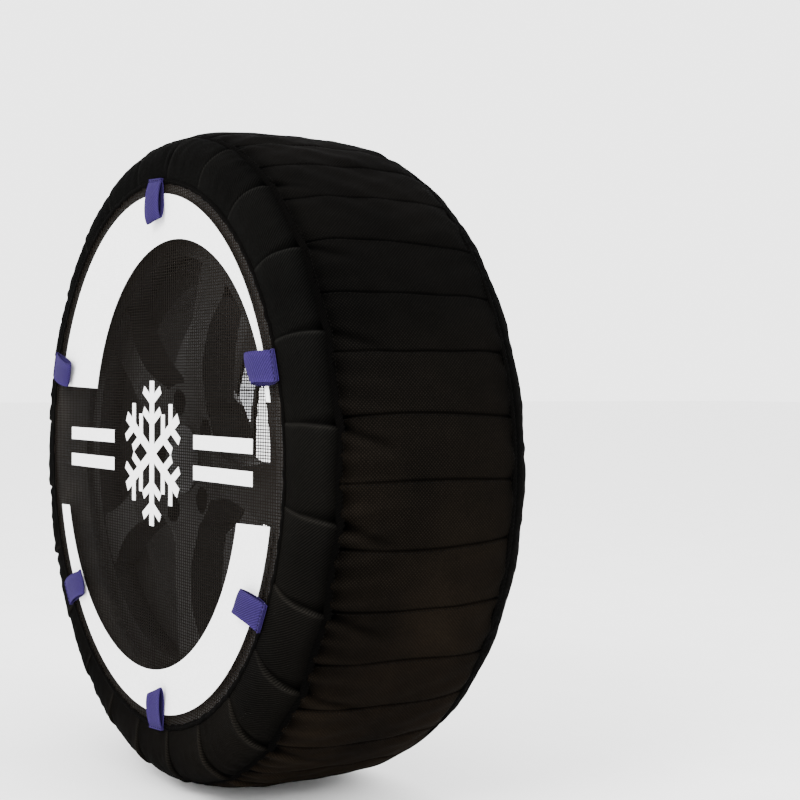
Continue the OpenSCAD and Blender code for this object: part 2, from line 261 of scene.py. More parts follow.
def slab(grid, thickness):
    """Points, faces and UVs of a closed sheet with this thickness round a (rows, columns) grid of points."""
    rows, columns = grid.shape[:2]
    normal = np.cross(np.gradient(grid, axis=0), np.gradient(grid, axis=1))
    normal = normal / np.linalg.norm(normal, axis=-1, keepdims=True)
    half = np.broadcast_to(np.asarray(thickness) / 2, (rows, columns))[..., None]
    points = np.concatenate([(grid + normal * half).reshape(-1, 3), (grid - normal * half).reshape(-1, 3)])
    number = np.arange(rows * columns).reshape(rows, columns)
    a, b, c, d = number[:-1, :-1], number[1:, :-1], number[1:, 1:], number[:-1, 1:]
    front = np.stack([a, b, c, d], -1).reshape(-1, 4)
    back = front[:, ::-1] + rows * columns
    border = np.concatenate([number[0, :], number[1:, -1], number[-1, -2::-1], number[-2:0:-1, 0]])
    rim = strip_quads(border, border + rows * columns)
    steps = np.linalg.norm(np.diff(grid, axis=0), axis=-1).mean(1)
    down = np.concatenate([[0], np.cumsum(steps)])
    wide = np.linspace(0, 1, columns) * np.linalg.norm(grid[0, -1] - grid[0, 0])
    uv = corner_uv(np.stack(np.broadcast_arrays(down[:, None], wide[None, :]), -1))
    faces = np.concatenate([front, back, rim])
    return points, faces, np.concatenate([uv, uv[:, ::-1], np.zeros((len(rim), 4, 2))])


def joined(parts, name, material, body):
    """One piece out of several (points, faces) pairs."""
    points, faces, count = [], [], 0
    for part_points, part_faces in parts:
        points.append(np.asarray(part_points).reshape(-1, 3))
        faces += [[count + int(i) for i in face] for face in part_faces]
        count += len(points[-1])
    return piece(name, np.concatenate(points), faces, material, body)


def stitches(name, middle, ahead, out, body="sock"):
    """Short threads lying on the cloth. middle, ahead and out each have one row per stitch."""
    side = np.cross(ahead, out)
    sides, sections = 5, ((-0.5, 0.35), (0.0, 1.0), (0.5, 0.35))
    ring = 2 * math.pi * np.arange(sides) / sides
    parts = []
    for place, size in sections:
        centre = middle + ahead * place * STITCH_LENGTH - out * (1 - size) * 0.4 * MM
        for turn in ring:
            spread = side * math.cos(turn) + out * math.sin(turn) * 0.7
            parts.append(centre + spread * size * STITCH_WIDTH / 2)
    points = np.stack(parts, 1)
    count = sides * len(sections)
    shell = ring_quads(sides, len(sections))
    shell = (shell % len(sections)) * sides + shell // len(sections)  # points are numbered ring by ring
    numbers = list(range(count))
    ends = [numbers[sides - 1::-1], numbers[-sides:]]
    faces = [[count * k + i for i in face] for k in range(len(points)) for face in [*shell.tolist(), *ends]]
    return piece(name, points, faces, THREAD, body)


def stitch_row(angle, along, lift):
    """Stitches along a line on the sock, given by angles, cloth lengths and a function for the lift."""
    line = wrap(angle, along, lift(angle, along) + 0.15 * MM)
    raised = wrap(angle, along, lift(angle, along) + 1.15 * MM)
    return line, unit(np.roll(line, -1, 0) - line), unit(raised - line)


def unit(vectors):
    return vectors / np.linalg.norm(vectors, axis=-1, keepdims=True)


def spaced(count, start, shares):
    """Clock angles with the same shares of the pitch in each of count equal steps."""
    pitch = 360 / count
    return (start + pitch * (np.arange(count)[:, None] + np.asarray(shares)[None, :])).ravel()


def mirrored(shares):
    """Shares from 0 to a half, and their mirror images up to 1."""
    return list(shares) + [1 - s for s in reversed(shares) if 0 < s < 0.5]


def bell(distance, width):
    return np.exp(-(distance / width) ** 2)


class Ripples:
    """Soft random relief of about unit size, which closes on itself round the wheel."""

    def __init__(self, waves, turns, per_metre):
        self.turns = rng.integers(*turns, waves)
        self.slopes = rng.uniform(-per_metre, per_metre, waves)
        self.phases = rng.uniform(0, 2 * math.pi, waves)

    def __call__(self, angle, along):
        total = 0
        for turns, slope, phase in zip(self.turns, self.slopes, self.phases):
            total = total + np.sin(np.radians(angle) * turns + along * slope + phase)
        return total / math.sqrt(len(self.turns) / 2)


# ---- Materials ----

class Shader:
    """A few short words for building one material out of nodes."""

    def __init__(self, name, roughness=0.8, metallic=0.0, **surface):
        self.material = bpy.data.materials.new(name)
        self.material.use_nodes = True
        self.tree = self.material.node_tree
        self.surface = self.tree.nodes["Principled BSDF"]
        self.set(Roughness=roughness, Metallic=metallic, **surface)

    def set(self, **values):
        for name, value in values.items():
            self.put(self.surface.inputs[name.replace("_", " ")], value)

    def put(self, socket, value):
        if isinstance(value, bpy.types.NodeSocket):
            self.tree.links.new(value, socket)
        else:
            socket.default_value = value

    def node(self, kind, inputs=(), **settings):
        made = self.tree.nodes.new("ShaderNode" + kind)
        for name, value in settings.items():
            setattr(made, name, value)
        for name, value in dict(inputs).items():
            self.put(made.inputs[name], value)
        return made

    def math(self, operation, a, b=0.0, c=0.0):
        return self.node("Math", {0: a, 1: b, 2: c}, operation=operation).outputs[0]

    def mix(self, share, a, b):
        made = self.node("Mix", data_type="RGBA")
        self.put(made.inputs["Factor"], share)
        self.put(made.inputs[6], (*a, 1) if isinstance(a, tuple) else a)
        self.put(made.inputs[7], (*b, 1) if isinstance(b, tuple) else b)
        return made.outputs[2]

    def scaled(self, colour, factor):
        return self.node("VectorMath", {0: colour, "Scale": factor}, operation="SCALE").outputs[0]

    def tinted(self, colour, tint):
        return self.node("VectorMath", {0: colour, 1: tint}, operation="MULTIPLY").outputs[0]

    def spread(self, value, low, high, to_low=0.0, to_high=1.0):
        inputs = {"Value": value, "From Min": low, "From Max": high, "To Min": to_low, "To Max": to_high}
        return self.node("MapRange", inputs).outputs[0]

    def place(self):
        """The point's coordinates in the CAD frame."""
        return self.node("TexCoord").outputs["Object"]

    def axes(self):
        return self.node("SeparateXYZ", {"Vector": self.place()}).outputs

    def noise(self, scale, detail=3.0, roughness=0.5):
        inputs = {"Vector": self.place(), "Scale": scale, "Detail": detail, "Roughness": roughness}
        return self.node("TexNoise", inputs).outputs["Fac"]

    def bump(self, height, distance, strength=1.0, normal=None):
        inputs = {"Height": height, "Distance": distance, "Strength": strength}
        if normal:
            inputs["Normal"] = normal
        return self.node("Bump", inputs).outputs["Normal"]

    def wave(self, value, period):
        """A smooth wave from 0 to 1 along value."""
        turn = self.math("MULTIPLY", value, 2 * math.pi / period)
        return self.math("MULTIPLY_ADD", self.math("SINE", turn), 0.5, 0.5)

    def from_axle(self):
        axes = self.axes()
        squares = self.math("ADD", self.math("POWER", axes["X"], 2.0), self.math("POWER", axes["Z"], 2.0))
        return self.math("SQRT", squares)


def weave(shader, period, twill):
    """Height of a weave over the UV map: diagonal ribs for a twill, otherwise the dots of a plain weave."""
    uv = shader.node("SeparateXYZ", {"Vector": shader.node("UVMap", uv_map="UVMap").outputs["UV"]})
    along, across = uv.outputs["X"], uv.outputs["Y"]
    rib = shader.wave(shader.math("ADD", along, across), period)
    if twill:
        return rib
    return shader.math("MULTIPLY", rib, shader.wave(shader.math("SUBTRACT", along, across), period))


def woven_material(name, dark, light, period, twill=True, painted_bounce_tint=None, relief=0.35 * MM, **surface):
    """Matt woven cloth: ribs or dots, slubby yarn, painted highlights on crests and painted shade in folds,
    and a painted warm bounce light towards the bottom.
    """
    shader = Shader(name, roughness=0.9, **surface)
    rib = weave(shader, period, twill)
    patch = shader.noise(9, 4)
    yarn = shader.noise(900, 2)
    share = shader.math("MULTIPLY_ADD", rib, 0.75, shader.spread(patch, 0.3, 0.7, 0.0, 0.25))
    colour = shader.mix(shader.math("MULTIPLY", share, shader.spread(yarn, 0.3, 0.7, 0.5, 1.2)), dark, light)
    # Painted warm bounce light: lighter and browner towards the bottom of the sock, in patches.
    if painted_bounce_tint:
        low = shader.spread(shader.axes()["Z"], 0.15, -0.28)
        share = shader.math("MULTIPLY", low, shader.spread(patch, 0.35, 0.65, 0.55, 1.0))
        colour = shader.mix(share, colour, shader.tinted(colour, painted_bounce_tint))
    # Painted shading: the per-point painted_shading attribute darkens the colour in folds and lightens it on
    # crests.
    painted_shading = shader.node("Attribute", attribute_name="painted_shading").outputs["Fac"]
    shader.set(Base_Color=shader.scaled(colour, shader.math("ADD", painted_shading, 1.0)))
    shader.set(Normal=shader.bump(rib, relief, 0.8, shader.bump(yarn, 0.15 * MM, 0.4)))
    return shader.material


def grained_material(name, colour, worn, roughness, metallic=0.0, grain=400, relief=0.05 * MM, **surface):
    """Moulded, cast or turned material: fine grain, uneven gloss, and lighter where it is rubbed."""
    shader = Shader(name, roughness, metallic, **surface)
    grit = shader.noise(grain, 4)
    cloud = shader.noise(14, 5)
    shader.set(Base_Color=shader.mix(shader.spread(cloud, 0.35, 0.7), colour, worn))
    shader.set(Roughness=shader.spread(cloud, 0.3, 0.7, roughness * 0.85, min(1.0, roughness * 1.15)))
    shader.set(Normal=shader.bump(grit, relief, 0.6))
    return shader.material


def tyre_material():
    """Black rubber with fine moulded rings round the sidewall and a little road dust."""
    shader = Shader("tyre_rubber", 0.75, Specular_IOR_Level=0.2)
    rings = shader.wave(shader.from_axle(), 3.2 * MM)
    zone = shader.spread(shader.noise(2.5, 1), 0.45, 0.55)
    dust = shader.spread(shader.noise(25, 5), 0.45, 0.8)
    shader.set(Base_Color=shader.mix(dust, (0.012, 0.012, 0.012), (0.034, 0.031, 0.027)))
    shader.set(Normal=shader.bump(shader.math("MULTIPLY", rings, zone), 0.6 * MM, 0.8,
                                  shader.bump(shader.noise(500, 3), 0.1 * MM, 0.5)))
    return shader.material


def net_material():
    """Brown-black yarn with painted shade: darker towards the middle of the net, paler towards its edge."""
    shader = Shader("net_yarn", 0.85, Specular_IOR_Level=0.02)
    # Painted shade, darkest in the middle of the net.
    painted_centre_shade = shader.spread(shader.from_axle(), 170 * MM, 250 * MM)
    fibre = shader.noise(1200, 3)
    colour = shader.mix(painted_centre_shade, (0.0060, 0.0049, 0.0040), (0.0080, 0.0062, 0.0048))
    shader.set(Base_Color=shader.scaled(colour, shader.spread(fibre, 0.3, 0.7, 0.75, 1.2)))
    shader.set(Normal=shader.bump(fibre, 0.1 * MM, 0.6))
    return shader.material


def print_material():
    """White ink on the net: its threads show through as a fine grid."""
    shader = Shader("white_print", 0.75, Specular_IOR_Level=0.2)
    axes = shader.axes()
    grid = shader.math("MULTIPLY", shader.wave(axes["X"], UPRIGHT_PITCH), shader.wave(axes["Z"], NET_PITCH))
    speck = shader.noise(300, 4)
    shader.set(Base_Color=shader.mix(shader.spread(speck, 0.3, 0.75), (0.88, 0.88, 0.88), (0.80, 0.80, 0.80)))
    shader.set(Normal=shader.bump(grid, 0.25 * MM, 0.5, shader.bump(speck, 0.05 * MM, 0.4)))
    return shader.material


BLACK = (0.0004, 0.0004, 0.0004)
CLOTH_SHINE = 0.006
# The tints below are painted warm floor bounce light towards the bottom of the sock.
TREAD_CLOTH = woven_material("tread_cloth", BLACK, (0.0040, 0.0036, 0.0031), 3.2 * MM, twill=False,
                             painted_bounce_tint=(3.0, 2.3, 1.6), Specular_IOR_Level=CLOTH_SHINE)
SIDE_CLOTH = woven_material("side_cloth", BLACK, (0.0030, 0.0029, 0.0026), 3.0 * MM,
                            painted_bounce_tint=(1.3, 1.15, 1.0), Specular_IOR_Level=CLOTH_SHINE)
TAPE = woven_material("seam_tape", BLACK, (0.0022, 0.0020, 0.0018), 2.2 * MM,
                      Specular_IOR_Level=CLOTH_SHINE)
WEBBING = woven_material("purple_webbing", (0.009, 0.0050, 0.032), (0.026, 0.0150, 0.079), 3.0 * MM,
                         relief=0.4 * MM, Specular_IOR_Level=0.05)
THREAD = grained_material("black_thread", (0.0010, 0.0009, 0.0008), (0.0030, 0.0027, 0.0024), 0.8, grain=1500,
                          Specular_IOR_Level=0.02)
NET_YARN = net_material()
TYRE = tyre_material()
PRINT = print_material()
ALLOY = grained_material("dark_painted_alloy", (0.0050, 0.0046, 0.0042), (0.0075, 0.0070, 0.0064), 0.5,
                         grain=700, Specular_IOR_Level=0.12)
PLASTIC = grained_material("black_plastic", (0.015, 0.015, 0.016), (0.03, 0.03, 0.032), 0.5, grain=900)
ZINC = grained_material("zinc", (0.35, 0.36, 0.38), (0.5, 0.51, 0.53), 0.45, 0.9, grain=250)
RUBBER = grained_material("soft_rubber", (0.012, 0.012, 0.012), (0.025, 0.024, 0.023), 0.7, grain=600)
BRASS = grained_material("brass", (0.55, 0.40, 0.17), (0.68, 0.52, 0.26), 0.35, 1.0, grain=500)
STEEL = grained_material("steel_wire", (0.4, 0.4, 0.42), (0.55, 0.55, 0.57), 0.4, 1.0, grain=800)
CORD = grained_material("cord_ply", (0.20, 0.17, 0.12), (0.30, 0.26, 0.19), 0.85, grain=900, relief=0.3 * MM)
LINER = grained_material("butyl_liner", (0.02, 0.02, 0.022), (0.04, 0.04, 0.042), 0.6, grain=300)
ELASTIC = grained_material("braided_elastic", (0.03, 0.03, 0.033), (0.07, 0.07, 0.075), 0.8, grain=1400)

CAD_MATERIALS = {
    TYRE: ["tyre_tread", "tyre_sidewall_outer", "tyre_sidewall_inner"],
    CORD: ["carcass_ply"],
    LINER: ["inner_liner"],
    STEEL: ["steel_belts", "bead_core_outer", "bead_core_inner"],
    ALLOY: ["rim_barrel", "wheel_centre"],
    PLASTIC: ["centre_cap", "valve_cap"],
    ZINC: ["balance_weights_outer", "balance_weights_inner"],
    RUBBER: ["valve_rubber", "valve_cap_seal"],
    BRASS: ["valve_tube", "valve_core", "valve_pin"],
    ELASTIC: ["hem_elastic"],
    PRINT: ["print_upper_arc", "print_lower_arc", "print_motif"],
}


def paint_cad():
    for material, nodes in CAD_MATERIALS.items():
        for node in nodes:
            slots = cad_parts[node].data.materials
            slots.clear()
            slots.append(material)


# ---- How the cloth is pulled ----

SLACK_CLOCK = 135  # where the cloth is slackest


def lowness(angle):
    """1 where the cloth is slackest, low on the right, falling to 0 on the far side."""
    return np.cos(np.radians((np.asarray(angle) - SLACK_CLOCK) / 1.4)).clip(0) ** 1.5


SCALLOP = 4.0 * MM
PLEAT_SIZE = rng.uniform(0.75, 1.25, PLEAT_COUNT)
PLEAT_DRIFT = Ripples(4, (2, 7), 40)
SIDE_RIPPLES = Ripples(30, (40, 150), 220)


def pleat_bend(angle, share):
    """How far a pleat has drifted clockwise, in degrees. share is 0 at the face and 1 at the seam."""
    return 1.6 * (share - 0.3) * (0.4 + lowness(angle)) + 0.5 * PLEAT_DRIFT(angle, 0)


def pleat_place(angle, share):
    """Number of the pleat, and the share of its pitch past its crest."""
    step = (angle - pleat_bend(angle, share) - PLEAT_CLOCK) / (360 / PLEAT_COUNT)
    return np.floor(step).astype(int) % PLEAT_COUNT, step % 1


def scallop(angle):
    """How far the outer shoulder seam is pulled outboard between the pleats."""
    part = pleat_place(angle, 1.0)[1]
    return SCALLOP * (0.3 + 0.7 * lowness(angle)) * (np.sin(math.pi * part) ** 0.8 - 0.5)


# ---- Tread ----

PANEL_PUFF = rng.uniform(0.6, 1.3, SEAM_COUNT)
SEAM_PHASE = rng.uniform(0, 2 * math.pi, SEAM_COUNT)
SEAM_WAVE = 0.4  # how far the cross seams stray, in degrees
SEAM_DRIFT = Ripples(6, (2, 13), 26)
TREAD_RIPPLES = Ripples(24, (20, 90), 160)
PULL_SIZE = rng.uniform(0.5, 1.0, (2, PLEAT_COUNT))
PUCKER_COUNT = 96
PUCKER_DRIFT = Ripples(6, (3, 14), 34)


def seam_place(angle, along):
    """Number of the nearest cross seam, the panel, the share across it, and the distance to the seam."""
    step = (angle + SEAM_WAVE * SEAM_DRIFT(angle, along) - SEAM_CLOCK) / (360 / SEAM_COUNT)
    share = step % 1
    away = np.minimum(share, 1 - share) * 2 * math.pi * SOCK_R / SEAM_COUNT
    return np.round(step).astype(int) % SEAM_COUNT, np.floor(step).astype(int) % SEAM_COUNT, share, away


def tread_edge(angle, along):
    """Distance along the cloth to the nearer shoulder seam."""
    return TREAD_HALF - np.abs(along) + np.where(along < 0, scallop(angle), 0)


def tread_relief(angle, along):
    """Padded panels between sewn seams, drawn in at the shoulders and dented where the pleats pull."""
    seam, panel, share, away = seam_place(angle, along)
    edge = tread_edge(angle, along)
    puff = PANEL_PUFF[panel] * (1 - np.abs(2 * share - 1) ** 3)
    height = -1.7 * MM + 2.0 * MM * puff * (1 - 0.4 * np.exp(-edge.clip(0) / (12 * MM)))
    height = height - 0.6 * MM * bell(away, 1.1 * MM) - 1.2 * MM * bell(edge, 6 * MM) * puff
    phase = SEAM_PHASE[seam]
    gather = np.sin(along / (1.15 * MM) + phase + 1.5 * np.sin(along / (9 * MM) + 2 * phase))
    height = height + 0.25 * MM * gather * np.exp(-away / (7 * MM)) * (1 - np.exp(-away / (1.5 * MM)))
    height = height + 0.45 * MM * TREAD_RIPPLES(angle, along) + pleat_pull(angle, along, edge)
    return np.maximum(height, INNER_LIFT + 0.5 * MM)


def pleat_pull(angle, along, edge):
    """Relief that runs from the outboard shoulder into the tread: a dent with a ridge beside it where each
    pleat ends, and fine puckers where the cloth is slack."""
    total = 0
    for k in range(PLEAT_COUNT):
        clock = PLEAT_CLOCK + k * 360 / PLEAT_COUNT
        low = lowness(clock)
        depth = (1.2 + 1.6 * low * PULL_SIZE[0, k]) * MM
        reach = (34 + 40 * low * PULL_SIZE[1, k]) * MM
        gap = (angle - clock - pleat_bend(clock, 1.0) + 180 - 60 * edge) % 360 - 180
        gap = gap * math.radians(1) * SOCK_R
        fade = np.clip(1 - edge / reach, 0, 1) ** 0.8
        total = total + depth * fade * (0.6 * bell(gap - 8 * MM, 5 * MM) - bell(gap, 4 * MM))
    wave = np.sin(np.radians(angle) * PUCKER_COUNT + 1.8 * PUCKER_DRIFT(angle, along))
    slack = np.clip(1.4 * lowness(angle) - 0.25, 0, 1)
    pucker = 1.9 * MM * slack * ((0.5 + 0.5 * wave) ** 2 - 0.4) * np.exp(-edge.clip(0) / (26 * MM))
    return (total + pucker) * (along < 0)


def tread_painted_shading(angle, along):
    """Painted shading: painted shade at the seams, along the shoulder and in the dents, and painted highlight
    on the ridges.
    """
    away = seam_place(angle, along)[3]
    edge = tread_edge(angle, along)
    pull = pleat_pull(angle, along, edge) / (1.6 * MM)
    return 0.1 - 0.8 * bell(away, 1.3 * MM) - 0.6 * bell(edge, 9 * MM) + 0.75 * np.clip(pull, -0.9, 0.9)


def build_tread():
    shares = mirrored([0, 0.012, 0.028, 0.05, 0.08, 0.12, 0.16, 0.2, 0.25, 0.3, 0.35, 0.4, 0.45, 0.5])
    evenly = spaced(SEAM_COUNT, SEAM_CLOCK, shares)
    low = -TREAD_HALF - scallop(evenly - SEAM_WAVE * SEAM_DRIFT(evenly, -TREAD_HALF))
    along = low[:, None] + (TREAD_HALF - low)[:, None] * np.linspace(0, 1, TREAD_ROWS)
    turn = evenly[:, None] - SEAM_WAVE * SEAM_DRIFT(evenly[:, None], along)
    made = cloth_ring("tread_fabric_panels", turn, along, tread_relief(turn, along), INNER_LIFT,
                      tread_painted_shading(turn, along), TREAD_CLOTH)
    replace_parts(made, "tread_fabric")


def build_tread_stitches():
    along = np.arange(-TREAD_HALF + 5 * MM, TREAD_HALF - 5 * MM, STITCH_PITCH)
    rows = []
    for k in range(SEAM_COUNT):
        clock = SEAM_CLOCK + k * 360 / SEAM_COUNT
        angle = clock + 0.4 - SEAM_WAVE * SEAM_DRIFT(clock, along)
        line, ahead, out = stitch_row(angle, along, tread_relief)
        ahead[-1] = ahead[-2]
        rows.append((line, ahead, out))
    made = [np.concatenate(part) for part in zip(*rows)]
    stitches("tread_seam_stitches", *made)


# ---- Sides ----

def side_relief(angle, along, share):
    """Pleats of the outer side: a narrow fold, flat cloth below, and a dark pocket above it by the seam."""
    pleat, part = pleat_place(angle, share)
    size = PLEAT_SIZE[pleat] * (0.7 + 0.4 * lowness(angle))
    belly = np.clip(share / 0.4, 0.15, 1) ** 0.7
    end = np.clip((1 - share) / 0.14, 0, 1) ** 0.6
    fold = np.minimum(part / 0.02, 1) * (0.45 * np.exp(-part / 0.1) + 0.55 * (1 - part) ** 1.3)
    swell = np.sin(math.pi * part) ** 1.2
    height = (2.8 * fold + 0.9 * swell - 2.2 * side_pocket(part, share)) * size * belly * end * MM
    height = height + 0.3 * MM * SIDE_RIPPLES(angle, along) * belly * end
    height = height - 0.5 * MM - (SEAM_DEPTH - 0.5 * MM) * bell(1 - share, 0.11)
    return np.maximum(height, INNER_LIFT + CLOTH + 0.2 * MM)


def side_pocket(part, share):
    """1 in the pocket just above each crest, which widens from the middle of the side to the seam."""
    width = 0.03 + 0.16 * np.clip((share - 0.35) / 0.65, 0, 1)
    return np.clip(1 - (1 - part) / width, 0, 1) * np.clip((1 - part) / 0.02, 0, 1)


def side_painted_shading(angle, share):
    """Painted shading: painted highlight along each crest and below it, painted shade in its pocket and by
    the seam, and a painted light strongest round clock 95 that dims to painted shade on the far side.
    """
    part = pleat_place(angle, share)[1]
    crest = bell(part - 0.022, 0.022) * np.clip(share / 0.06, 0, 1) * np.clip((1 - share) / 0.15, 0, 1)
    lit = np.clip(0.5 - part, 0, 0.5) * np.clip((1 - share) / 0.3, 0, 1)
    # Painted light: lighter round clock 95, darker on the far side of the wheel.
    painted_facing_light = 0.4 * np.cos(np.radians(angle - 95)) - 0.15
    shaded = 0.85 * side_pocket(part, share) + 0.6 * bell(1 - share, 0.16)
    return painted_facing_light + 1.5 * crest + 0.6 * lit - shaded


def build_outer_side():
    shares = [0, 0.006, 0.013, 0.02, 0.028, 0.04, 0.055, 0.08, 0.11, 0.15, 0.2, 0.26, 0.33, 0.4, 0.47, 0.54,
              0.61, 0.68, 0.74, 0.79, 0.83, 0.87, 0.9, 0.93, 0.955, 0.975, 0.99]
    evenly = spaced(PLEAT_COUNT, PLEAT_CLOCK, shares)[:, None]
    share = np.linspace(0, 1, SIDE_ROWS)[None, :]
    turn = evenly + pleat_bend(evenly, share)
    start = -length_at_radius(FACE_Z * np.cos(np.radians(turn[:, :1])) + net_radius(turn[:, :1]) + EDGE_TAPE)
    end = -SIDE_HALF - scallop(turn[:, -1:])
    along = start + (end - start) * share
    share = np.broadcast_to(share, along.shape)
    lift = side_relief(turn, along, share)
    made = cloth_ring("outer_side_pleats", turn, along, lift, lift - CLOTH, side_painted_shading(turn, share),
                      SIDE_CLOTH)
    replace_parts(made, "outer_side_fabric")


INNER_RIPPLES = Ripples(30, (40, 150), 200)
GATHER_DRIFT = Ripples(6, (3, 17), 25)


def inner_relief(angle, along, share):
    """Fine gathers of the inner side, deepest at the elastic hem, and soft folds halfway."""
    gather = np.sin(np.radians(angle) * GATHER_COUNT + 1.4 * GATHER_DRIFT(angle, along))
    fold = np.sin(np.radians(angle) * PLEAT_COUNT + 2 * share)
    height = 1.3 * gather * share ** 1.5 + 0.8 * fold * np.sin(math.pi * share) - 0.9 + 0.4 * share
    height = height * MM + 0.2 * MM * INNER_RIPPLES(angle, along) - 0.9 * MM * bell(share, 0.1)
    lowest = INNER_LIFT + (0.2 + 0.45 * share) * MM  # the tyre comes closer towards the hem
    return np.maximum(height, lowest + CLOTH)


def build_inner_side():
    angle = np.arange(0, 360, 0.5)[:, None]
    end = length_at_radius(HEM_R + 3.6 * MM)
    share = np.broadcast_to(np.linspace(0, 1, SIDE_ROWS), (len(angle), SIDE_ROWS))
    along = SIDE_HALF + (end - SIDE_HALF) * share
    lift = inner_relief(angle, along, share)
    # Painted shading: lighter on the raised gathers, painted shade in their hollows and by the shoulder seam.
    painted_shading = 0.5 * np.clip(lift / (1.5 * MM), -1.2, 1) - 0.4 * bell(share, 0.08)
    made = cloth_ring("inner_side_gathers", angle, along, lift, lift - CLOTH, painted_shading, SIDE_CLOTH)
    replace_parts(made, "inner_side_fabric")


# ---- Seams, binding and hem ----

TWIST_COUNT = 440


def seam_lift(angle, along):
    """Top of the twisted seam allowance in the shoulder valley."""
    twist = np.sin(np.radians(angle) * TWIST_COUNT + 900 * along)
    return -SEAM_DEPTH + 0.9 * MM + 0.35 * MM * twist


def build_shoulder_seam(name, side):
    angle = np.arange(0, 360, 0.2)[:, None]
    middle = side * (TREAD_HALF + SIDE_HALF) / 2 - (scallop(angle) if side < 0 else 0)
    across = np.linspace(-1, 1, TAPE_ROWS)[None, :]
    along = middle + across * ((SIDE_HALF - TREAD_HALF) / 2 + 2.2 * MM) + 0 * angle
    lift = seam_lift(angle, along) - 0.8 * MM * across ** 2
    # The tape gets an even painted shade, -0.2 on the painted_shading attribute.
    made = cloth_ring(name, angle, along, lift, lift - 0.9 * MM, -0.2 + 0 * lift, TAPE)
    return made


def build_shoulders():
    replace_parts(build_shoulder_seam("outer_shoulder_tape", -1), "outer_shoulder_seam")
    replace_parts(build_shoulder_seam("inner_shoulder_tape", 1), "inner_shoulder_seam")
    angle = np.degrees(np.arange(0, 2 * math.pi * SOCK_R, STITCH_PITCH) / SOCK_R)
    for name, side in (("outer_shoulder_stitches", -1), ("inner_shoulder_stitches", 1)):
        along = side * (TREAD_HALF - 2.6 * MM) - (scallop(angle) if side < 0 else 0)
        stitches(name, *stitch_row(angle, along, tread_relief))


def tube(name, centre_z, centre_y, angle, turns, skins, material):
    """A tube about the axle. Each skin gives radii and axial offsets for clock angles and turns round it."""
    columns, rows = len(angle), len(turns)
    clock = np.radians(angle)[:, None]
    points, faces = [], []
    i, j = np.arange(columns)[:, None], np.arange(rows)[None, :]
    for number, skin in enumerate(skins):
        radius, inboard = skin(angle[:, None], turns[None, :])
        across, up = radius * np.sin(clock), centre_z + radius * np.cos(clock)
        grid = np.broadcast_arrays(across, centre_y + inboard, up)
        points.append(np.stack(grid, -1).reshape(-1, 3))
        here = number * columns * rows + i * rows
        there = number * columns * rows + (i + 1) % columns * rows
        quads = np.stack([here + j, here + (j + 1) % rows, there + (j + 1) % rows, there + j], -1)
        quads = quads.reshape(-1, 4)
        faces.append(quads if number == 0 else quads[:, ::-1])  # a second skin lines the tube
    return piece(name, np.concatenate(points), np.concatenate(faces), material, "sock")


def build_binding():
    """The folded tape between the net and the side: a flat oval tube with a slightly wavy edge."""
    middle = EDGE_TAPE / 2
    half = middle + 0.9 * MM  # it laps the net and the side
    thick = 1.7 * MM
    angle = np.arange(0, 360, 0.5)
    turns = np.linspace(0, 2 * math.pi, 12, endpoint=False)
    ripple = Ripples(12, (30, 130), 0)

    def skin(clock, turn):
        wavy = 0.35 * MM * ripple(clock, 0)
        return net_radius(clock) + middle + half * np.cos(turn) + wavy, 0.3 * wavy - thick * np.sin(turn)

    made = tube("face_binding_tape", FACE_Z, FACE_Y + 0.8 * MM, angle, turns, [skin], TAPE)
    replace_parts(made, "face_binding")
    turn = np.arange(0, 2 * math.pi, STITCH_PITCH / FACE_R)
    radius = (net_radius(np.degrees(turn)) + middle)[:, None]
    around = np.stack([np.sin(turn), 0 * turn, np.cos(turn)], -1)
    line = FACE_CENTRE + radius * around + thick / 2 * OUTBOARD
    stitches("face_binding_stitches", line, unit(np.roll(line, -1, 0) - line),
             np.broadcast_to(OUTBOARD, line.shape))


def build_hem():
    """The gathered casing round the elastic: a tube that swells and pinches, open inside for the cord."""
    angle = np.arange(0, 360, 360 / (GATHER_COUNT * 8))
    turns = np.linspace(0, 2 * math.pi, 18, endpoint=False)
    drift = Ripples(6, (3, 15), 0)

    def skin(size):
        def offsets(clock, turn):
            gather = np.sin(np.radians(clock) * GATHER_COUNT + drift(clock, 0) + 0.5 * np.sin(turn))
            radius = size * (1 + 0.13 * gather)
            return HEM_R + radius * np.cos(turn), radius * np.sin(turn)
        return offsets

    skins = [skin(HEM_TUBE), skin(HEM_TUBE - 1.2 * MM)]
    made = tube("hem_casing_gathers", 0, HEM_Y, angle, turns, skins, SIDE_CLOTH)
    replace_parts(made, "hem_casing")


# ---- Net ----

def strand(start, end, width):
    """Points and faces of one straight yarn with a six-sided section."""
    side = np.cross(unit(end - start), OUTBOARD)
    turn = np.radians(np.arange(0, 360, 60))[:, None]
    ring = side * np.cos(turn) * width / 2 + OUTBOARD * np.sin(turn) * YARN_HEIGHT / 2
    sides = [[i, (i + 1) % 6, 6 + (i + 1) % 6, 6 + i] for i in range(6)]
    return np.concatenate([start + ring, end + ring]), [*sides, [5, 4, 3, 2, 1, 0], [6, 7, 8, 9, 10, 11]]


def yarn_ends(pitch, reach, across):
    """Place of each yarn at its two ends, and half its length, in an oval of these half widths."""
    for offset in np.arange(pitch / 2 - reach, reach, pitch):
        place = offset + rng.uniform(-0.12, 0.12) * MM
        bend = rng.uniform(-0.3, 0.3) * MM
        yield place - bend, place + bend, across * math.sqrt(1 - (offset / reach) ** 2)


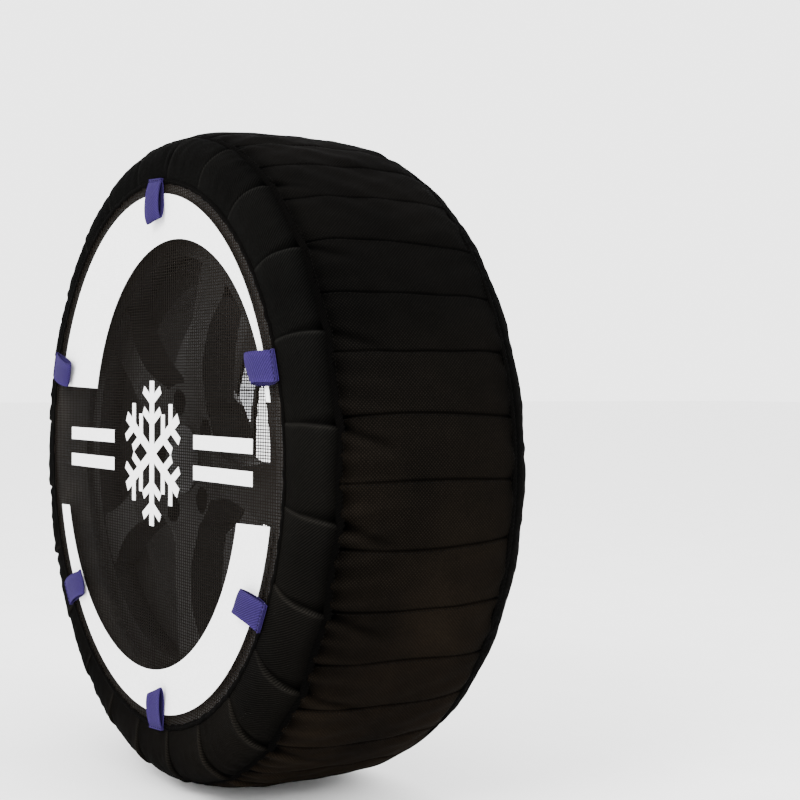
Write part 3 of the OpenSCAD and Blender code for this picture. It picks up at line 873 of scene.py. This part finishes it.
def build_net():
    """Upright yarns in front and level yarns behind them, run in under the binding."""
    wide, tall = NET_WIDE + 2 * MM, NET_TALL + 2 * MM
    parts = []
    front, rear = YARN_HEIGHT / 2, FACE_T / 2 + 0.1 * MM
    for low, high, half in yarn_ends(UPRIGHT_PITCH, wide, tall):
        parts.append(strand(FACE_CENTRE + [low, front, -half], FACE_CENTRE + [high, front, half],
                            UPRIGHT_THREAD))
    for left, right, half in yarn_ends(NET_PITCH, tall, wide):
        parts.append(strand(FACE_CENTRE + [-half, rear, left], FACE_CENTRE + [half, rear, right], NET_THREAD))
    made = joined(parts, "mesh_face_net", NET_YARN, "sock")
    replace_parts(made, "mesh_face")


# ---- Pull tabs ----

def loop_section(length, bulge):
    """Way in from the hinge and height over the face along one loop, from its rear root to its front root."""
    turn = np.linspace(0, 2 * math.pi, 49)
    reach = (1 - np.cos(turn)) / 2
    inward = length * reach
    open_by = bulge / 2 * np.sin(turn) * np.sin(turn / 2) ** 0.6
    layer = -TAB_LAYER * np.sign(np.sin(turn).round(6)) * (1 - reach ** 6)
    height = TAB_LIFT + 0.4 * bulge * reach ** 0.7 - open_by + layer
    root = np.linspace(-TAB_ROOT, 0, ROOT_ROWS + 1)[:-1]
    rear, front = np.full(ROOT_ROWS, height[0] - TAB_LAYER), np.full(ROOT_ROWS, height[-1] + TAB_LAYER)
    return np.concatenate([root, inward, root[::-1]]), np.concatenate([rear, height, front])


def build_tab(number, clock, shape):
    """A loop of webbing that stands open, hanging inwards from the rim of the face."""
    length, bulge, splay, slant, lean, twist = (value * MM for value in shape)
    across = np.linspace(-1, 1, 11)
    sections = [loop_section(length + slant * w, bulge * (1 - 0.12 * w)) for w in across]
    inward, height = (np.stack(values, 1) for values in zip(*sections))
    reach = (inward / length).clip(0, 1)
    front = np.linspace(-1, 1, len(inward))[:, None] * reach
    askew = 0.8 * MM * (1 + np.sin(across * 2.3 + number)) + (abs(twist) + twist * across) / 2
    sideways = across * TAB_WIDTH / 2 * (1 - 0.06 * reach) + splay * front + lean * reach ** 1.3
    turn = math.radians(clock)
    radial = np.array([math.sin(turn), 0, math.cos(turn)])
    tangent = np.array([math.cos(turn), 0, -math.sin(turn)])
    hinge = net_radius(clock) + 1 * MM
    grid = (FACE_CENTRE + (hinge - inward)[..., None] * radial + sideways[..., None] * tangent
            + (height + askew * reach)[..., None] * OUTBOARD)
    selvedge = TAB_THICK * (1 - 0.35 * np.abs(across) ** 6)
    points, faces, uv = slab(grid, np.broadcast_to(selvedge, inward.shape))
    # Painted highlight along the webbing's edges, and a slight painted shade across its middle.
    painted_shading = np.tile(0.25 * np.abs(across) ** 4 - 0.05, 2 * len(inward))
    body = f"pull_tab_{number}"
    made = piece(f"{body}_webbing", points, faces, WEBBING, body, uv, painted_shading)
    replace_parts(made, body)
    sewn = grid[-ROOT_ROWS + 1] + 0.9 * MM * OUTBOARD
    line = sewn[0] + (sewn[-1] - sewn[0]) * np.linspace(0.08, 0.92, 6)[:, None]
    stitches(f"{body}_stitches", line, np.broadcast_to(tangent, line.shape),
             np.broadcast_to(OUTBOARD, line.shape), body)


# ---- The camera, the light and the floor ----

def aim(thing, target, roll=0.0):
    """Turns a camera or a lamp, in place, towards a point."""
    turn = (Vector(target) - thing.location).to_track_quat("-Z", "Y")
    thing.rotation_euler = (turn.to_matrix() @ Matrix.Rotation(roll, 3, "Z")).to_euler()


def add_camera():
    """A camera that sees the wheel from its right front, and a little from above."""
    azimuth, elevation = math.radians(62.54), math.radians(2.62)
    distance = 1.6
    towards = Vector((math.sin(azimuth) * math.cos(elevation), -math.cos(azimuth) * math.cos(elevation),
                      math.sin(elevation)))
    right = Vector((math.cos(azimuth), math.sin(azimuth), 0))
    up = towards.cross(right)
    middle = Vector((0, CENTRE_Y, 0))
    data = bpy.data.cameras.new("camera")
    data.lens = 71.28
    data.sensor_width = 36
    camera = bpy.data.objects.new("camera", data)
    camera.location = middle + distance * towards
    aim(camera, middle + 0.1414 * right + 0.0579 * up, math.radians(0.25))
    bpy.context.scene.collection.objects.link(camera)
    bpy.context.scene.camera = camera


def add_lamp(name, place, target, size, watts):
    data = bpy.data.lights.new(name, "AREA")
    data.shape = "DISK"
    data.size = size
    data.energy = watts
    lamp = bpy.data.objects.new(name, data)
    lamp.location = place
    aim(lamp, target)
    bpy.context.scene.collection.objects.link(lamp)


def add_world(strength):
    world = bpy.data.worlds.new("studio")
    world.use_nodes = True
    background = world.node_tree.nodes["Background"]
    background.inputs["Color"].default_value = (1, 1, 1, 1)
    background.inputs["Strength"].default_value = strength
    bpy.context.scene.world = world


def add_floor(height):
    size = 30
    mesh = bpy.data.meshes.new("floor")
    corners = [(-size, -size, height), (size, -size, height), (size, size, height), (-size, size, height)]
    mesh.from_pydata(corners, [], [(0, 1, 2, 3)])
    paper = grained_material("floor_paper", (0.86, 0.86, 0.86), (0.88, 0.88, 0.88), 0.9, grain=60)
    mesh.materials.append(paper)
    floor = bpy.data.objects.new("floor", mesh)
    bpy.context.scene.collection.objects.link(floor)
    floor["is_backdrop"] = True


paint_cad()
build_tread()
build_tread_stitches()
build_outer_side()
build_inner_side()
build_shoulders()
build_binding()
build_hem()
build_net()
for index, (clock, shape) in enumerate(zip(TAB_CLOCKS, TAB_SHAPES)):
    build_tab(index + 1, clock, shape)

add_camera()
add_world(3.5)
add_lamp("key", (1.2, -2.4, 2.2), (0, 0, 0), 1.6, 160)
add_lamp("side", (2.6, 0.8, 1.4), (0, 0, 0), 1.2, 80)
add_floor(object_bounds()[0].z)
